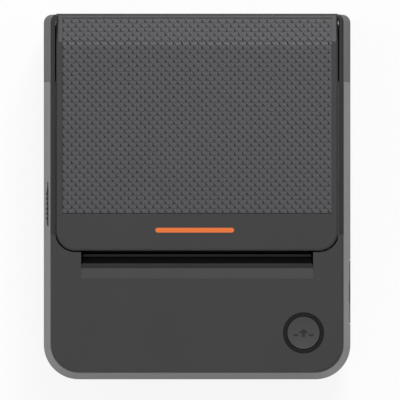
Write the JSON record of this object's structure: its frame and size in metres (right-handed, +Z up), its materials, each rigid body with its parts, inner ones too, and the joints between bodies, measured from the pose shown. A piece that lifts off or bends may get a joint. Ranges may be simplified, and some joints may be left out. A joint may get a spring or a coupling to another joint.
{
  "type": "thermal receipt printer",
  "caption": "Compact thermal receipt printer with a textured hinged lid over the roll, tear bar slot, feed button, side release and covered sockets.",
  "frame": {"origin": "centre of the printer's footprint at table level, under the feet", "axes": "+Z up, +Y towards the rear where the lid is hinged, +X to the right of someone facing the front, where the sockets are"},
  "size_m": [0.111, 0.132, 0.058],
  "materials": {
    "dark_plastic": "fine satin texture, charcoal",
    "case_plastic": "satin mid grey",
    "shoulder_plastic": "satin darker grey",
    "black_plastic": "satin black",
    "ring_plastic": "gloss black",
    "inner_plastic": "matt black",
    "steel": "bright steel",
    "heat_sink_metal": "plain",
    "platen_rubber": "ground rubber",
    "soft_rubber": "matt soft rubber",
    "gear_plastic": "natural white plastic",
    "board": "green solder mask",
    "chips": "moulded packages",
    "ceramic": "glazed plate",
    "battery": "shrink wrap",
    "socket_metal": "nickel plated"
  },
  "bodies": {
    "case": {"bottom_case": "case_plastic", "main_case": "case_plastic", "shoulder_left": "shoulder_plastic", "shoulder_right": "shoulder_plastic", "hinge_pins": "steel", "side_strip_left": "dark_plastic", "side_strip_right": "dark_plastic", "front_panel": "dark_plastic", "tear_bar": "steel", "feed_ring": "ring_plastic", "key_board": "board", "tact_switch": "chips", "board_screws": "steel", "paper_tub": "inner_plastic", "mechanism_frame": "inner_plastic", "head_springs": "steel", "motor": "steel", "main_board": "board", "board_chips": "chips", "buzzer": "chips", "usb_socket": "socket_metal", "dc_socket": "black_plastic", "power_switch": "black_plastic", "battery_pack": "battery", "rubber_feet": "soft_rubber", "case_screws": "steel", "inner_screws": "steel"},
    "lid": {"lid_cover": "dark_plastic", "lid_frame": "inner_plastic", "platen_bushes": "black_plastic"},
    "platen": {"platen_shaft": "steel", "platen_rubber": "platen_rubber", "platen_gear": "gear_plastic"},
    "idler": {"idler_gear": "gear_plastic"},
    "reduction": {"reduction_gear": "gear_plastic"},
    "motor_rotor": {"motor_pinion": "steel"},
    "head": {"print_head": "ceramic", "heat_sink": "heat_sink_metal"},
    "latch": {"latch_bar": "steel", "latch_lever": "black_plastic"},
    "release": {"release_knob": "dark_plastic"},
    "feed": {"feed_button": "dark_plastic"},
    "port_flap": {"port_cover": "soft_rubber"},
    "power": {"power_knob": "black_plastic"},
    "door": {"battery_door": "case_plastic"}
  },
  "joints": [
    {"name": "lid_hinge", "type": "hinge", "parent": "case", "child": "lid", "pos_m": [0, 0.062, 0.036], "axis": [-1, 0, 0], "range_deg": [0, 100]},
    {"name": "platen_spin", "type": "hinge", "parent": "lid", "child": "platen", "pos_m": [0, -0.0145, 0.0475], "axis": [1, 0, 0], "continuous": true},
    {"name": "idler_spin", "type": "hinge", "parent": "case", "child": "idler", "pos_m": [0.0475, -0.01614, 0.03662], "axis": [1, 0, 0], "continuous": true},
    {"name": "reduction_spin", "type": "hinge", "parent": "case", "child": "reduction", "pos_m": [0.0475, -0.00901, 0.03896], "axis": [1, 0, 0], "continuous": true},
    {"name": "motor_spin", "type": "hinge", "parent": "case", "child": "motor_rotor", "pos_m": [0.0475, -0.0012, 0.0356], "axis": [1, 0, 0], "continuous": true},
    {"name": "head_pivot", "type": "hinge", "parent": "case", "child": "head", "pos_m": [0, -0.023, 0.0365], "axis": [1, 0, 0], "range_deg": [0, 2], "stiffness_Nm_per_rad": 0.4, "springref_deg": -2.86},
    {"name": "feed_press", "type": "slide", "parent": "case", "child": "feed", "axis": [0, 0, -1], "range_m": [0, 0.0005], "stiffness_N_per_m": 600, "springref_m": -0.0002},
    {"name": "release_slide", "type": "slide", "parent": "case", "child": "release", "axis": [0, 1, 0], "range_m": [0, 0.0018], "stiffness_N_per_m": 500, "springref_m": -0.001},
    {"name": "latch_pivot", "type": "hinge", "parent": "case", "child": "latch", "pos_m": [0, -0.012, 0.033], "axis": [-1, 0, 0], "range_deg": [0, 10.5]},
    {"name": "port_flap_hinge", "type": "hinge", "parent": "case", "child": "port_flap", "pos_m": [0.05416, -0.03435, 0.0189], "axis": [0, 1, 0], "range_deg": [0, 95]},
    {"name": "power_slide", "type": "slide", "parent": "case", "child": "power", "axis": [0, 1, 0], "range_m": [0, 0.002]},
    {"name": "battery_door_hinge", "type": "hinge", "parent": "case", "child": "door", "pos_m": [0, -0.01665, 0.0019], "axis": [1, 0, 0], "range_deg": [0, 85]}
  ],
  "couplings": [
    {"joint": "idler_spin", "follows": "platen_spin", "ratio": -1.2},
    {"joint": "reduction_spin", "follows": "platen_spin", "ratio": 2.4},
    {"joint": "motor_spin", "follows": "platen_spin", "ratio": -5.76},
    {"joint": "latch_pivot", "follows": "release_slide", "rad_per_m": 100}
  ]
}
